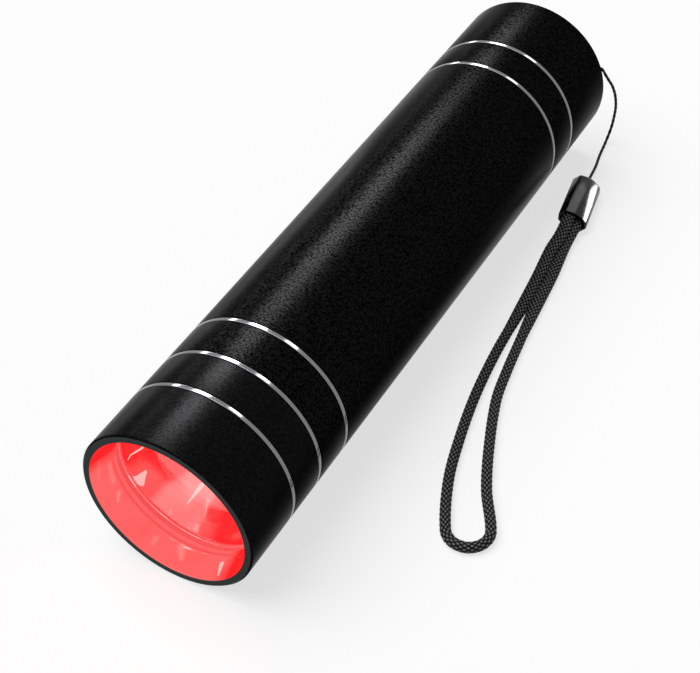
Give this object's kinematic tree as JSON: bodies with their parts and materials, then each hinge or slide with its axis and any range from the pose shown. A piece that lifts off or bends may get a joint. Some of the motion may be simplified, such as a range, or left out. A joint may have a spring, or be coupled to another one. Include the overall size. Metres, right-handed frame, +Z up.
{
  "type": "red light therapy wand",
  "caption": "Straight barrel wand with a red-lit recessed reflector, bright rings, a tail push button, a charging socket under a flap, and a wrist strap on a thin cord.",
  "frame": {"origin": "on the surface that the wand lies on, under the middle of the wand's length, below its axis", "axes": "+Y along the wand towards its tail, -Y out of its mouth, +Z up, +X towards the side on which the strap lies"},
  "size_m": [0.0642, 0.1554, 0.035],
  "materials": {
    "black_anodised": "black anodised over a fine blasted grain",
    "bright_cut": "bare, polished",
    "clear_glass": "clear, polished",
    "red_lit_mirror": "mirror bright, lit red by the LED",
    "led_silicone": "clear silicone over a red chip",
    "white_plastic": "moulded, satin",
    "board_white": "white solder mask on a metal core",
    "board_green": "green solder mask",
    "brass": "turned",
    "nickel_steel": "bright nickel plate",
    "cell_can": "bright nickel plate",
    "spring_steel": "drawn wire",
    "black_rubber": "matt silicone",
    "red_wire": "insulated wire",
    "black_wire": "insulated wire",
    "cell_wrap": "shrunk sleeve",
    "black_plastic": "moulded, satin",
    "ferrule_gloss": "glossy black nickel",
    "thin_cord": "twisted thread",
    "strap_braid": "woven braid"
  },
  "bodies": {
    "wand": {"bezel": "black_anodised", "lens_gasket": "black_rubber", "front_lens": "clear_glass", "reflector": "red_lit_mirror", "led_centering_ring": "white_plastic", "led_emitter": "led_silicone", "led_board": "board_white", "heat_sink_pill": "brass", "led_wire_positive": "red_wire", "led_wire_negative": "black_wire", "head_shell": "black_anodised", "usb_c_socket": "nickel_steel", "charge_board": "board_green", "board_spacer": "white_plastic", "driver_board": "board_green", "driver_retaining_ring": "brass", "front_contact_spring": "spring_steel", "port_cover_anchor": "black_rubber", "head_o_ring": "black_rubber", "body_tube": "black_anodised", "tail_o_ring": "black_rubber", "battery_cell": "cell_can", "battery_wrap": "cell_wrap", "battery_insulator": "white_plastic", "battery_positive_cap": "nickel_steel", "tail_spring": "spring_steel", "switch_retaining_ring": "brass", "switch_board": "board_green", "tail_switch": "black_plastic", "tail_cap": "black_anodised", "front_trim_ring_1": "bright_cut", "front_trim_ring_2": "bright_cut", "front_trim_ring_3": "bright_cut", "rear_trim_ring_1": "bright_cut", "rear_trim_ring_2": "bright_cut", "lanyard_cord": "thin_cord", "lanyard_knot": "thin_cord", "strap_ferrule": "ferrule_gloss", "wrist_strap": "strap_braid"},
    "button": {"tail_button": "black_rubber", "button_o_ring": "black_rubber", "switch_plunger": "white_plastic"},
    "flap": {"port_cover": "black_rubber"}
  },
  "joints": [
    {"name": "button_press", "type": "slide", "parent": "wand", "child": "button", "axis": [0, -1, 0], "range_m": [0, 0.0013], "stiffness_N_per_m": 1000, "springref_m": -0.001},
    {"name": "flap_hinge", "type": "hinge", "parent": "wand", "child": "flap", "pos_m": [-0.01646, -0.0467, 0.02345], "axis": [0, 1, 0], "range_deg": [0, 110]}
  ]
}
